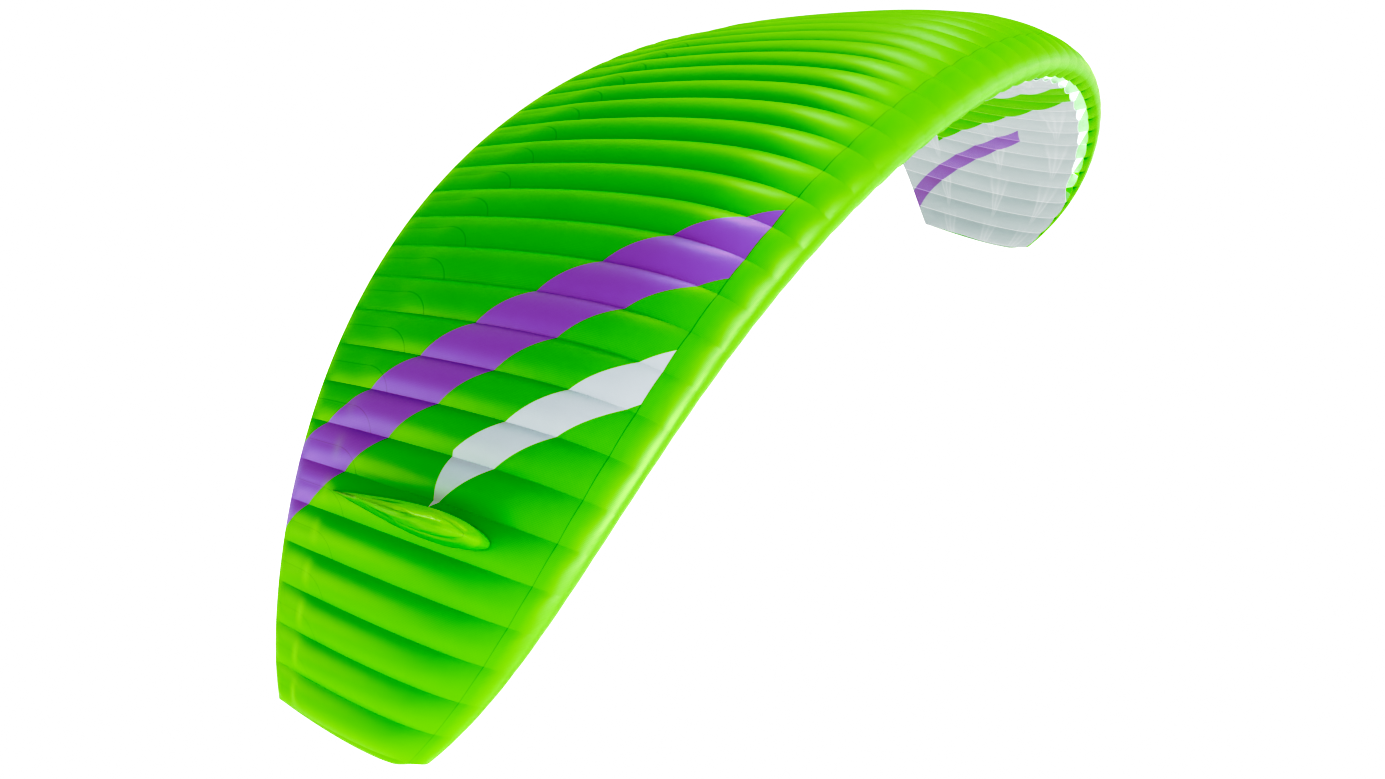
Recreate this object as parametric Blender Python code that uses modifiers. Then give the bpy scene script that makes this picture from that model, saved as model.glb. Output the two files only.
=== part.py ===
"""An inflated paraglider wing: an arched row of 45 air-filled cells, open at the front.

Metres. X runs along the span, with the right tip at -X. The nose faces -Y and the trailing
edge +Y. The origin is the lowest point of the centre cell's underside at 30% of the chord.
"""

import math

import bmesh
import bpy
import numpy as np
from mathutils import Matrix, Vector

# Driving dimensions, in metres
CELLS = 45
HALF_SPAN = 5.5  # from the centre to a tip rib, along the arc
ROOT_CHORD = 2.85
CLOTH = 0.002  # thickness of every cloth piece
GAP = 0.0006  # from the edge of one panel to the edge of the next
STRIP_GAP = 0.0023  # the same between the strips of the nose, whose inner faces lean together
SHUT_GAP = 0.0014  # the same where the underside closes the tip cells, at an angle to the nose
RIB_CLEARANCE = 0.0027  # from a skin's outer face to a rib's edge
SWEPT_EXTRA = 0.0024  # added to it at a nose that is swept 45 degrees
TAIL_HALF = 0.0022  # half the thickness of the sewn trailing edge

# Section, as fractions of the chord
THICKNESS = 0.159
CAMBER = 0.0157
CAMBER_PLACE = 0.3
NOSE_SEAM = 0.0743  # top edge of the leading-edge panels
NOSE_LIP = 0.0274  # upper lip of the intakes, on the underside
UNDER_LIP = 0.0657  # lower lip of the intakes
ORIGIN_PLACE = 0.3

# Cells
SIDE_CELLS = 17  # cells in each outer section of the nose and the underside
CLOSED_CELLS = 3  # cells without an intake at each tip
PUFF_TOP = 0.13  # height of a cell's bulge over its width
PUFF_NOSE = 0.02  # the same round the nose, which is drawn tight
PUFF_UNDER = 0.08  # the same on the underside, from the upper lip of the intakes back
PUFF_GROWN = 0.22  # chord fraction where the top's bulge is full
PUFF_TAIL = 0.14  # of the two small bulges at the trailing edge, over half a cell
SPLIT_START = 0.80  # chord fraction where the small ribs begin
SPLIT_FULL = 0.87

# Chord stations of each panel, as fractions of the chord
TOP_STATIONS = (NOSE_SEAM, 0.16, 0.30, 0.52, 0.78, 0.875, 0.95, 1.0)
UNDER_STATIONS = (UNDER_LIP, 0.15, 0.3, 0.5, 0.75, 1.0)
NOSE_STEPS = 5
NOSE_TOP_STEPS = 3  # of those, the steps of the upper strip
RIB_END = 0.95
TOP_STEPS = 4  # spanwise facets of a cell
UNDER_STEPS = 2

# Colours
GREEN = (0.12, 0.62, 0.01)
LIME = (0.30, 0.75, 0.05)
GREY = (0.58, 0.63, 0.65)
WHITE = (0.85, 0.86, 0.88)

TIP_DOME = 0.28  # how far a tip panel stands out, over the height of the section there
TIP_CLEARANCE = 0.0029  # from a skin's outer face to a tip panel's edge
TIP_STEPS = 4

FIN_CELL = 5  # cells between the tip rib and the fin's cell
FIN_GAP = 0.0006  # from the fin's foot to the skin
FIN_CUT_DEPTH = 0.12
# One row for each level of a fin: height over the skin, then the distances of its front and
# rear edges behind the nose of that cell, and its thickness over its chord
FIN_LEVELS = (
    # height, front, rear, thickness
    (-0.045, 0.440, 1.600, 0.130),
    (0.010, 0.440, 1.595, 0.130),
    (0.090, 0.437, 1.440, 0.165),
    (0.190, 0.480, 1.240, 0.150),
    (0.290, 0.570, 1.165, 0.175),
    (0.380, 0.690, 1.110, 0.130),
    (0.410, 0.780, 1.060, 0.070),
)
FIN_WRAPS = (0.3, 0.52, 0.72, 0.88)


# ---------------------------------------------------------------- wing form
def tilt(u):
    """Sideways lean of the wing's surface at span fraction u, from -1 to 1, in radians."""
    return 0.658 * u + 1.029 * u**3 - 0.390 * u**5


def arc_table(steps=800):
    """Span fractions with the X and Z that the arched chord line has at each."""
    u = np.linspace(-1.0, 1.0, steps + 1)
    lean = tilt(u)
    step = HALF_SPAN * (u[1] - u[0])
    x = np.concatenate([[0.0], np.cumsum((np.cos(lean[1:]) + np.cos(lean[:-1])) / 2 * step)])
    z = np.concatenate([[0.0], np.cumsum(-(np.sin(lean[1:]) + np.sin(lean[:-1])) / 2 * step)])
    return u, x - x[steps // 2], z - z[steps // 2]


ARC_U, ARC_X, ARC_Z = arc_table()


def span_fraction(station):
    """Span fraction of a station, which counts cells from the right tip and may be fractional."""

    def of_rib(rib):
        t = -1 + 2 * rib / CELLS
        return t * (1 + 0.103 * (1 - t**2) - 0.020 * (1 - t**4))

    low = min(int(math.floor(station)), CELLS - 1)
    part = station - low
    return of_rib(low) * (1 - part) + of_rib(low + 1) * part


def cell_width(station):
    low = min(int(math.floor(station)), CELLS - 1)
    return HALF_SPAN * (span_fraction(low + 1) - span_fraction(low))


def chord(u):
    return ROOT_CHORD * math.sqrt(1 - (0.9285 * u) ** 2)


def nose_place(u):
    """Distance of the nose behind that of the centre, by the sweep of the wing."""
    return HALF_SPAN * (0.125 * u**2 - 0.030 * u**4 + 0.106 * abs(u) ** 6.8)


def sweep_slope(u, step=0.01):
    """How fast the nose runs back along the arc, where 1 is 45 degrees."""
    return abs(nose_place(u + step) - nose_place(u - step)) / (2 * step * HALF_SPAN)


def nose_raise(u):
    """Slope that lifts the nose over the tail: the wing's setting angle, less at the tips."""
    return 0.083 * (1 - u**2)


def section_half(wrap, thickness):
    """Half the height of a rounded-nose section of chord 1, at wrap from 0 at the nose to 1."""
    x = wrap * wrap
    return 5 * thickness * (
        0.2969 * wrap - 0.126 * x - 0.3516 * x**2 + 0.2843 * x**3 - 0.1036 * x**4
    )


def section(wrap):
    """Chord fraction and height of the section. wrap is 1 at the tail, 0 at the nose, -1 below."""
    x = min(wrap * wrap, 1.0)
    half = section_half(math.sqrt(x), THICKNESS)
    if x < CAMBER_PLACE:
        mid = CAMBER / CAMBER_PLACE**2 * (2 * CAMBER_PLACE * x - x**2)
    else:
        mid = CAMBER / (1 - CAMBER_PLACE) ** 2 * (1 - 2 * CAMBER_PLACE + 2 * CAMBER_PLACE * x - x**2)
    return x, mid + math.copysign(half, wrap)


def wrap_of(place, side):
    return side * math.sqrt(place)


def section_normal(wrap):
    """Outward direction of the section, as (chordwise, upward)."""
    step = 0.01
    x1, h1 = section(max(wrap - step, -1.0))
    x2, h2 = section(min(wrap + step, 1.0))
    length = math.hypot(x2 - x1, h2 - h1)
    return -(h2 - h1) / length, (x2 - x1) / length


def up_at(u):
    return Vector((math.sin(tilt(u)), 0.0, math.cos(tilt(u))))


def flat_place(u, along, height):
    """A point at a distance behind the centre's nose and a height over the arched chord line."""
    base = Vector((float(np.interp(u, ARC_U, ARC_X)), along, float(np.interp(u, ARC_U, ARC_Z))))
    return base + up_at(u) * height


def wing_point(station, wrap, puff=0.0):
    """A point of the skins' outer face, puff metres outside the section between the ribs."""
    u = span_fraction(station)
    size = chord(u)
    place, height = section(wrap)
    out_along, out_up = section_normal(wrap)
    along = nose_place(u) + size * place + puff * out_along
    lift = size * (height + nose_raise(u) * (1 - place))
    lift += math.copysign(TAIL_HALF * place, wrap) + puff * out_up
    return flat_place(u, along, lift) - ORIGIN


def puff_at(station, wrap):
    """How far the skin stands out from the straight line between two ribs."""
    part = station - math.floor(station)
    width = cell_width(station)
    place = wrap * wrap
    whole = 4 * part * (1 - part) * width
    if wrap < 0 and place > NOSE_LIP:
        return whole * PUFF_UNDER * (1 - place**6)
    half = (2 * part) % 1.0
    halves = 4 * half * (1 - half) * width / 2
    split = min(max((place - SPLIT_START) / (SPLIT_FULL - SPLIT_START), 0.0), 1.0)
    fade = 1 - max((place - RIB_END) / (1 - RIB_END), 0.0)
    grown, most = (place / NOSE_LIP, PUFF_UNDER) if wrap < 0 else (place / PUFF_GROWN, PUFF_TOP)
    height = PUFF_NOSE + (most - PUFF_NOSE) * min(grown, 1.0) ** 0.7
    return (whole * height * (1 - split) + halves * PUFF_TAIL * split) * fade


def origin_point():
    """Lowest point of the centre cell's underside at ORIGIN_PLACE, behind the centre's nose."""
    wrap = wrap_of(ORIGIN_PLACE, -1)
    return wing_point(CELLS / 2, wrap, puff_at(CELLS / 2, wrap))


ORIGIN = Vector((0.0, 0.0, 0.0))
ORIGIN = origin_point()


# ---------------------------------------------------------------- Blender helpers
def clear_scene():
    for thing in list(bpy.data.objects):
        bpy.data.objects.remove(thing, do_unlink=True)


def new_collection(name):
    group = bpy.data.collections.new(name)
    bpy.context.scene.collection.children.link(group)
    return group


def cloth_material(name, colour, roughness=0.55):
    material = bpy.data.materials.new(name)
    material.use_nodes = True
    shader = material.node_tree.nodes["Principled BSDF"]
    shader.inputs["Base Color"].default_value = (*colour, 1.0)
    shader.inputs["Roughness"].default_value = roughness
    return material


def new_object(name, points, faces, material, group):
    mesh = bpy.data.meshes.new(name)
    mesh.from_pydata([tuple(point) for point in points], [], faces)
    mesh.update()
    if material:
        mesh.materials.append(material)
    made = bpy.data.objects.new(name, mesh)
    group.objects.link(made)
    return made


def loft(name, rows, material, group, flip=False, closed=False):
    """A surface of triangles between rows of points that all have the same count."""
    count = len(rows[0])
    points = [point for row in rows for point in row]
    faces = []
    for row in range(len(rows) - 1):
        for column in range(count if closed else count - 1):
            a = row * count + column
            b = row * count + (column + 1) % count
            faces += [(a, b + count, a + count), (a, b, b + count)]
    if closed:
        faces.append(tuple(range(len(points) - count, len(points))))
    if flip:
        faces = [face[::-1] for face in faces]
    return new_object(name, points, faces, material, group)


def weld(made, distance=0.00001):
    """Join points that lie on each other, and drop the faces that then have no area."""
    mesh = bmesh.new()
    mesh.from_mesh(made.data)
    bmesh.ops.remove_doubles(mesh, verts=mesh.verts, dist=distance)
    mesh.to_mesh(made.data)
    mesh.free()


def mirror_over_span(made):
    modifier = made.modifiers.new("Mirror", "MIRROR")
    modifier.merge_threshold = 0.00005


def give_thickness(made, inward=True, thickness=CLOTH):
    modifier = made.modifiers.new("Thickness", "SOLIDIFY")
    modifier.thickness = thickness
    modifier.offset = -1.0 if inward else 0.0
    modifier.use_even_offset = True


def mirrored_copy(made, name, group):
    """The finished form of an object, on the other side of the wing."""
    evaluated = made.evaluated_get(bpy.context.evaluated_depsgraph_get())
    mesh = bpy.data.meshes.new_from_object(evaluated)
    mesh.name = name
    mesh.transform(Matrix.Scale(-1.0, 4, Vector((1.0, 0.0, 0.0))))
    mesh.flip_normals()
    copy = bpy.data.objects.new(name, mesh)
    group.objects.link(copy)
    return copy


# ---------------------------------------------------------------- skins
def stations_between(first, last, steps):
    return [first + index / steps for index in range(round((last - first) * steps) + 1)]


def skin_loft(name, stations, wraps_at, material, group):
    rows = [
        [wing_point(station, wrap, puff_at(station, wrap)) for wrap in wraps_at(station)]
        for station in stations
    ]
    return loft(name, rows, material, group)


def make_skin(name, steps, wraps_at, material, group, first=0):
    """A skin over the whole span, or over its middle section from rib first on."""
    stations = stations_between(first, CELLS / 2, steps)
    if first:
        stations[0] += GAP / 2 / cell_width(first)
    made = skin_loft(name, stations, wraps_at, material, group)
    mirror_over_span(made)
    give_thickness(made)


def make_skin_sections(name, steps, wraps_at, material, group):
    """A skin in three sections, which meet over the ribs at SIDE_CELLS from each tip."""
    make_skin(name + "_middle", steps, wraps_at, material, group, SIDE_CELLS)
    stations = stations_between(0, SIDE_CELLS, steps)
    stations[-1] -= GAP / 2 / cell_width(SIDE_CELLS - 0.5)
    right = skin_loft(name + "_right", stations, wraps_at, material, group)
    give_thickness(right)
    mirrored_copy(right, name + "_left", group)


def top_wraps(station):
    shift = GAP / 2 / chord(span_fraction(station))
    places = (TOP_STATIONS[0] + shift,) + TOP_STATIONS[1:]
    return [wrap_of(place, 1) for place in reversed(places)]


def nose_wraps(station):
    shift = GAP / 2 / chord(span_fraction(station))
    start = wrap_of(NOSE_SEAM - shift, 1)
    end = wrap_of(NOSE_LIP - shift, -1)
    return [start + (end - start) * step / NOSE_STEPS for step in range(NOSE_STEPS + 1)]


def strip_shift(station):
    """Half the gap between the nose's strips, as a change of wrap."""
    return STRIP_GAP / 2 / (5 * THICKNESS * 0.2969 * chord(span_fraction(station)))


def nose_top_wraps(station):
    wraps = nose_wraps(station)[: NOSE_TOP_STEPS + 1]
    wraps[-1] += strip_shift(station)
    return wraps


def nose_lip_wraps(station):
    wraps = nose_wraps(station)[NOSE_TOP_STEPS:]
    wraps[0] -= strip_shift(station)
    return wraps


def under_lip(station):
    """Chord fraction of the lower skin's front edge, which closes the tip cells."""
    from_tip = min(station, CELLS - station)
    shut = NOSE_LIP + SHUT_GAP / chord(span_fraction(station))
    return shut + (UNDER_LIP - shut) * min(max(from_tip - CLOSED_CELLS, 0.0), 1.0)


def under_wraps(station):
    places = (under_lip(station),) + UNDER_STATIONS[1:]
    return [wrap_of(place, -1) for place in places]


def make_skins(colours, group):
    make_skin("upper_skin", TOP_STEPS, top_wraps, colours["green"], group)
    make_skin_sections("nose_top", TOP_STEPS, nose_top_wraps, colours["lime"], group)
    make_skin_sections("nose_lip", TOP_STEPS, nose_lip_wraps, colours["lime"], group)
    make_skin_sections("lower_skin", UNDER_STEPS, under_wraps, colours["grey"], group)


# ---------------------------------------------------------------- ribs
def inset(outline, distances):
    """Move the corners of a closed outline, given clockwise, inward, each by its distance."""
    count = len(outline)
    moved = []
    for index, distance in enumerate(distances):
        here = np.array(outline[index])
        before = here - np.array(outline[index - 1])
        after = np.array(outline[(index + 1) % count]) - here
        normals = [np.array((side[1], -side[0])) / np.hypot(*side) for side in (before, after)]
        middle = normals[0] + normals[1]
        moved.append(here + middle * distance / (1 + normals[0] @ normals[1]))
    return moved


def rib_outline(station, clearance):
    """Outline of a rib inside the skins, as (along, height), from the tail over the top."""
    u = span_fraction(station)
    size = chord(u)

    def point(wrap):
        place, height = section(wrap)
        edge = math.copysign(TAIL_HALF * place, wrap)
        lift = size * (height + nose_raise(u) * (1 - place))
        return nose_place(u) + size * place, lift + edge

    wraps = top_wraps(station)[1:] + nose_wraps(station)[1:] + under_wraps(station)[:-1]
    points = [point(wrap) for wrap in wraps]
    before, tail = np.array(points[-1]), np.array(point(-1.0))
    share = (RIB_END - UNDER_STATIONS[-2]) / (1 - UNDER_STATIONS[-2])
    points.append(tuple(before + (tail - before) * share))
    kept = points[:1]
    for corner in points[1:]:
        if math.dist(corner, kept[-1]) > 0.003:
            kept.append(corner)
    swept = SWEPT_EXTRA * sweep_slope(u)
    distances = []
    for along, height in kept:
        place = (along - nose_place(u)) / size
        distances.append(clearance + swept * max(1 - place / NOSE_SEAM, 0))
    return inset(kept[::-1], distances[::-1])[::-1]


def make_rib(name, station, material, group):
    u = span_fraction(station)
    outline = rib_outline(station, RIB_CLEARANCE)
    points = [flat_place(u, along, height) - ORIGIN for along, height in outline]
    made = new_object(name, points, [tuple(range(len(points)))], material, group)
    give_thickness(made, inward=False)
    return made


def make_ribs(material, group):
    for number in range(1, CELLS):
        make_rib(f"rib_{number:02d}", number, material, group)


# ---------------------------------------------------------------- tips
def outboard_at(u):
    """Direction along the arc, away from the centre."""
    lean = abs(tilt(u))
    return Vector((math.copysign(math.cos(lean), u), 0.0, -math.sin(lean)))


def make_tip(name, station, material, group):
    """The domed panel that closes a wing tip, between the edges of the skins."""
    u = span_fraction(station)
    outline = rib_outline(station, TIP_CLEARANCE)
    nose = min(range(len(outline)), key=lambda index: outline[index][0])
    upper = np.array(outline[: nose + 1])[::-1]
    lower = np.array(outline[nose:])
    last = min(upper[-1][0], lower[-1][0])
    places = sorted({float(along) for along in (*upper[:, 0], *lower[:, 0]) if along < last - 0.004})
    rows = []
    for along in (*places, float(last)):
        top = float(np.interp(along, upper[:, 0], upper[:, 1]))
        bottom = float(np.interp(along, lower[:, 0], lower[:, 1]))
        row = []
        for step in range(TIP_STEPS + 1):
            part = step / TIP_STEPS
            dome = outboard_at(u) * ((top - bottom) * TIP_DOME * 4 * part * (1 - part))
            row.append(flat_place(u, along, top + (bottom - top) * part) + dome - ORIGIN)
        rows.append(row)
    made = loft(name, rows, material, group, flip=station == 0)
    weld(made)
    give_thickness(made, inward=False)


def make_tips(material, group):
    make_tip("tip_right", 0, material, group)
    make_tip("tip_left", CELLS, material, group)


# ---------------------------------------------------------------- fins
def fin_rows(station):
    """Rings of a fin from below the skin to its top, in the cell whose middle is at station."""
    u = span_fraction(station)
    nose = nose_place(u)
    side = (outboard_at(u) - up_at(u) * outboard_at(u).dot(up_at(u))).normalized()
    rows = []
    for height, front, rear, thickness in FIN_LEVELS:
        length = rear - front
        ring = []
        for wrap in (1.0, *reversed(FIN_WRAPS), 0.0, *(-wrap for wrap in FIN_WRAPS)):
            along = nose + front + length * wrap * wrap
            half = section_half(abs(wrap), thickness) * length
            place = math.sqrt((along - nose) / chord(u))
            foot = wing_point(station, place, puff_at(station, place))
            ring.append(foot + up_at(u) * height + side * math.copysign(half, wrap))
        rows.append(ring)
    return rows


def fin_cutter(name, station, helpers):
    """A block whose top is the skin of the fin's cell, raised by the gap under the fin."""
    u = span_fraction(station)
    first = math.floor(station)
    rows = [
        [
            wing_point(here, wrap, puff_at(here, wrap)) + up_at(u) * FIN_GAP
            for wrap in top_wraps(here)
        ]
        for here in (first + step / TOP_STEPS for step in range(TOP_STEPS + 1))
    ]
    made = loft(name, rows, None, helpers)
    mesh = bmesh.new()
    mesh.from_mesh(made.data)
    grown = bmesh.ops.extrude_face_region(mesh, geom=mesh.faces[:])
    moved = [item for item in grown["geom"] if isinstance(item, bmesh.types.BMVert)]
    bmesh.ops.translate(mesh, verts=moved, vec=up_at(u) * -FIN_CUT_DEPTH)
    bmesh.ops.recalc_face_normals(mesh, faces=mesh.faces[:])
    mesh.to_mesh(made.data)
    mesh.free()
    made.hide_render = True
    made.display_type = "WIRE"
    return made


def make_fins(material, group, helpers):
    station = FIN_CELL + 0.5
    right = loft("fin_right", fin_rows(station), material, group, closed=True)
    give_thickness(right)
    cut = right.modifiers.new("Foot", "BOOLEAN")
    cut.operation = "DIFFERENCE"
    cut.object = fin_cutter("fin_cutter", station, helpers)
    mirrored_copy(right, "fin_left", group)


# ---------------------------------------------------------------- build
def main():
    clear_scene()
    wing = new_collection("Paraglider wing")
    helpers = new_collection("Cutters")
    colours = {
        "green": cloth_material("green cloth", GREEN),
        "lime": cloth_material("lime cloth", LIME),
        "grey": cloth_material("grey cloth", GREY),
        "white": cloth_material("white cloth", WHITE),
    }
    make_skins(colours, wing)
    make_ribs(colours["white"], wing)
    make_tips(colours["green"], wing)
    make_fins(colours["lime"], wing, helpers)


main()
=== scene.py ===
"""Looks of the inflated paraglider wing: cloth skins, sewn seams, inner ribs, fins and studio.

Metres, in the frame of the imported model: X along the span, nose towards -Y, Z up.

Places on the cloth are given by three numbers. A station counts the ribs from the right tip, 0 to
CELLS. A place is the fraction of the chord behind the nose. A wrap is the root of the place, above
zero on top and below zero underneath, so that it runs evenly round the nose.
"""

import math

import bpy
import numpy as np
from mathutils import Matrix, Vector


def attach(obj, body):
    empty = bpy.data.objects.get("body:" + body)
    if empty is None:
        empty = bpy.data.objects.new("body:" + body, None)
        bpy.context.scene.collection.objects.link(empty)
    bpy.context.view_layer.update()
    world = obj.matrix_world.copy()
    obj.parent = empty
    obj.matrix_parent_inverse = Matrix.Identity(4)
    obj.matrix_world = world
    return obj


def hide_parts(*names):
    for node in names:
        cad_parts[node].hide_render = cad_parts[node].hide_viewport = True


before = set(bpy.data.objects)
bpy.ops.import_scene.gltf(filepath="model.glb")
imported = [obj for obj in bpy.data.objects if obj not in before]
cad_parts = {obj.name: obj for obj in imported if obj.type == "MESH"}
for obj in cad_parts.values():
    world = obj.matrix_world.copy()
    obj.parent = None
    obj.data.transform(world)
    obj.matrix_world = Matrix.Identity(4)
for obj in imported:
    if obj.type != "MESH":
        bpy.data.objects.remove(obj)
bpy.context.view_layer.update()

# ---------------------------------------------------------------- the wing's sizes, as in the solids
CELLS = 45
HALF_SPAN = 5.5  # along the arch
ROOT_CHORD = 2.85
CHORD_TAPER = 0.9285
LEAN = ((0.658, 1), (1.029, 3), (-0.390, 5))  # factors and powers of the span fraction, in radians
SWEEP = ((0.125, 2), (-0.030, 4), (0.106, 6.8))  # the same for how far the nose runs back, in half spans
RIB_CROWDING = ((0.103, 2), (-0.020, 4))  # the ribs stand closer toward the tips
NOSE_RAISE = 0.083  # over the chord, in the middle of the wing
TAIL_HALF = 0.0022  # half the height of the trailing edge
THICKNESS = 0.159  # of the section, over the chord
SECTION_TERMS = (0.2969, -0.126, -0.3516, 0.2843, -0.1036)  # a four-digit section: root, then powers
CAMBER = 0.0157  # height of the section's middle line, over the chord
CAMBER_PLACE = 0.3
NOSE_SEAM = 0.0743  # place where the upper skin meets the nose cloth
NOSE_LIP = 0.0274  # place of the intakes' upper lip, on the underside
UNDER_LIP = 0.0657  # place of their lower lip
ORIGIN_PLACE = 0.3  # the frame starts from this place on the underside of the middle cell
CLOSED_CELLS = 3  # cells without an intake at each tip
PUFF_UNDER = 0.08  # height of a cell's bulge over its width
PUFF_GROWN = 0.22  # place where the top's bulge is full
FIN_CELL = 5  # the fins stand in the middle of this cell, counted from 0 at each tip
FIN_LEVELS = (
    # height, front and rear behind the wing's nose, thickness over the fin's length
    (0.004, 0.440, 1.595, 0.130),
    (0.090, 0.437, 1.440, 0.165),
    (0.190, 0.480, 1.240, 0.150),
    (0.290, 0.570, 1.165, 0.175),
    (0.380, 0.690, 1.110, 0.130),
    (0.410, 0.780, 1.060, 0.070),
)

# ---------------------------------------------------------------- the finer form
PUFF_TOP = 0.16  # fuller than in the solids, for deeper light and shade
PUFF_NOSE = 0.006
SWELL_TOP = 0.8  # power that the bulge grows with behind the nose
SWELL_NOSE = 2.0  # the same from the nose down to the intakes
SPLIT_START = 0.79  # the small ribs that split each cell's tail grow from here
SPLIT_FULL = 0.89
PUFF_TAIL = 0.030  # of the two small bulges over half a cell
TAIL_FADE = 0.95  # the bulges sink to the trailing edge from here
UNDER_FADE_POWER = 6
LIP_SHOWN = 0.0340  # the cloth of the upper lip is turned under as far as this
NOSE_SCALLOP = 0.004  # how far the upper lip of an intake is cut back between two ribs
UNDER_SCALLOP = 0.012
LIP_CORD = 0.0035  # radius of the rolled hem round the intakes
LIP_CORNERS = 8
INNER_LIFT = -0.0022  # the cloth's inner face, below its outer face
INNER_END = 0.20  # how far back the inner face of the nose cloth is shown
DIAGONALS = (
    # places of the foot and of the head
    ((0.062, 0.085), (0.020, 0.060)),
    ((0.110, 0.130), (0.110, 0.170)),
    ((0.240, 0.300), (0.220, 0.340)),
)
DIAGONAL_LIFT = -0.006  # the straps end just inside the skins
DIAGONAL_STEPS = 6
TIP_DOME = 0.44  # how far a tip panel stands out, over the height of the section there
TIP_DOME_AT_NOSE = 0.3  # share of it at the nose
TIP_DOME_GROWN = 0.2  # place where the dome is full
TIP_LIFT = -0.0025  # the panel's edges, below the outer face of the skins
TIP_FIRST = NOSE_LIP * 0.02  # places of the first and the last row of its points
TIP_LAST = 0.985
TIP_CROWDING = 1.6  # the rows stand closer at the nose
FIN_PINCH = 0.32  # share of the thickness that the crease between the fin's two cells takes away
FIN_CREASE = 0.195  # height of the crease
FIN_CREASE_HALF = 0.018
FIN_CROWN = 0.006  # how far the top bulges
TOP_FLAT = (12.7, 2.75)  # length and width of the cloth laid flat
NOSE_FLAT = (12.0, 0.46)
UNDER_FLAT = (11.4, 2.70)

TOP_STEPS = 16  # spanwise facets of a cell on the upper skin
UNDER_STEPS = 12
TOP_STOPS = (1.0, 0.95, 0.885, 0.79, 0.55, 0.25, NOSE_SEAM)
TOP_COUNTS = (4, 5, 9, 8, 12, 10)
NOSE_ROWS = 19
UNDER_STOPS = (0.0, 0.12, 0.5, 1.0)
UNDER_COUNTS = (5, 10, 12)
INNER_ROWS = 26
TIP_ROWS = 60
TIP_COLUMNS = 17
FIN_STOPS = (0.004, 0.19, 0.38, 0.41)
FIN_COUNTS = (12, 12, 6)
FIN_SIDE_STEPS = 24

# ---------------------------------------------------------------- colours
GREEN = (0.170, 0.500, 0.020)
PURPLE = (0.335, 0.200, 0.520)
PALE = (0.580, 0.620, 0.660)
# white cloth, painted grey as its own shade
GREY = (0.312, 0.334, 0.340)
GREEN_PAINTED_SHADE = (0.085, 0.310, 0.000)  # the same cloths painted darker as shade: on the underside with the whole thickness of the wing behind them, and where the nose turns under
PURPLE_PAINTED_SHADE = (0.225, 0.140, 0.300)
GREEN_IN_SHADE = (0.040, 0.220, 0.000)  # the tip panels' cloth, which turns down
GREEN_SEAM = (0.000, 0.060, 0.000)
# painted shade in the creases at the nose's lip
GREEN_PAINTED_GATHER_SHADE = (0.010, 0.140, 0.000)
# a painted highlight at the front of the small ribs toward the tips
GREEN_PAINTED_HIGHLIGHT = (0.550, 0.900, 0.200)
# the fin's green painted lighter on its upper face and darker on its outer face as light and shade, and
# darker in its leaf as shade
FIN_PAINTED_LIT = (0.230, 0.560, 0.020)
FIN_PAINTED_SHADE = (0.095, 0.370, 0.008)
FIN_FOLD_SHADE = (0.020, 0.210, 0.000)
THREADS = (0.600, 0.900, 0.500)
WHITE = (0.820, 0.840, 0.850)
RIB = (0.520, 0.680, 0.520)  # white cloth, painted green for the light that comes through the green skins
CLEAR_WHITE = (1.0, 1.0, 1.0)
BLACK = (0.0, 0.0, 0.0)
SHEEN_TINT = (0.35, 1.0, 0.05)

GLOW = 0.16  # light that comes through one layer of cloth
FIN_GLOW = 0.12
TIP_GLOW = 0.08
RIB_GLOW = 0.40  # inside the wing light comes from every side
STRAP_GLOW = 0.65
INNER_GLOW = 0.70

# ---------------------------------------------------------------- the cloth's surface
RIPSTOP = 0.008  # pitch of the heavier threads in the cloth
THREAD_EDGE = 0.0011  # half of a heavier thread's width
THREAD_SOFT = 0.0008
THREAD_SHARE = 0.06  # how far the threads are lighter
UNEVEN_SHARE = 0.08  # how far the cloth darkens in patches
UNEVEN_GLOSS = 0.12  # how much its roughness varies
ROUGHNESS = 0.38
COAT_ROUGHNESS = 0.40
COAT_IOR = 2.3
SHEEN_ROUGHNESS = 0.35
SKIN_SHEEN = 0.3
SKIN_GLOSS = 0.15  # mirroring of the cloth under its coat, over that of plain plastic
UNDER_GLOSS = 0.3
TIP_GLOSS = 0.1
LINE_SHARE = 0.3  # how dark the drawn seams are
UNDER_LINE_SHARE = 0.22
UNEVEN_NOISE = {"scale": 1.7, "detail": 3.0}
WRINKLE_NOISE = {"scale": 9.0, "detail": 3.0}
WRINKLE_BUMP = {"distance": 0.004, "strength": 0.25}
THREAD_BUMP = {"distance": 0.0004, "strength": 0.6}
SEAM_BUMP = {"distance": 0.0006, "strength": 0.3}
TOP_COAT = 0.14
NOSE_COAT = 0.66  # more gloss where the nose is drawn round
NOSE_COAT_BELOW = 0.72  # and less where it is turned under
TIP_SEAM = -0.06  # height of the seam on a tip panel, from its middle
SMALL_RIB = 0.845  # place where the small ribs of the tail begin
SMALL_RIB_BEND = 0.09  # from there forward their seam bends out to the next rib
BAND_SLOPE = 8.8  # stations that a band moves outboard over one chord
BAND_EDGE = 0.006  # softness of a band's edge, in stations
BANDS_TOP = (
    # distance from the middle at the nose in stations, half width, first and last place, colour
    (8.4, 1.05, 0.0, 1.1, PURPLE),
    (12.0, 0.65, 0.0, 0.46, PALE),
)
# the bands underneath are painted darker, as shade
BANDS_UNDER = (
    (9.6, 1.00, 0.0, 0.70, GREEN_PAINTED_SHADE),
    (12.4, 0.45, 0.30, 1.1, PURPLE_PAINTED_SHADE),
)
FAN_ROWS = (0.15, 0.41, 0.73)  # places where the straps inside pull the underside
FAN_RIBS = 3  # every third rib is pulled


# ---------------------------------------------------------------- wing form
def terms(table, value):
    return sum(factor * value**power for factor, power in table)


def tilt(u):
    """How far the skins lean outboard at a span fraction, -1 to 1."""
    return terms(LEAN, u)


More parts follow.
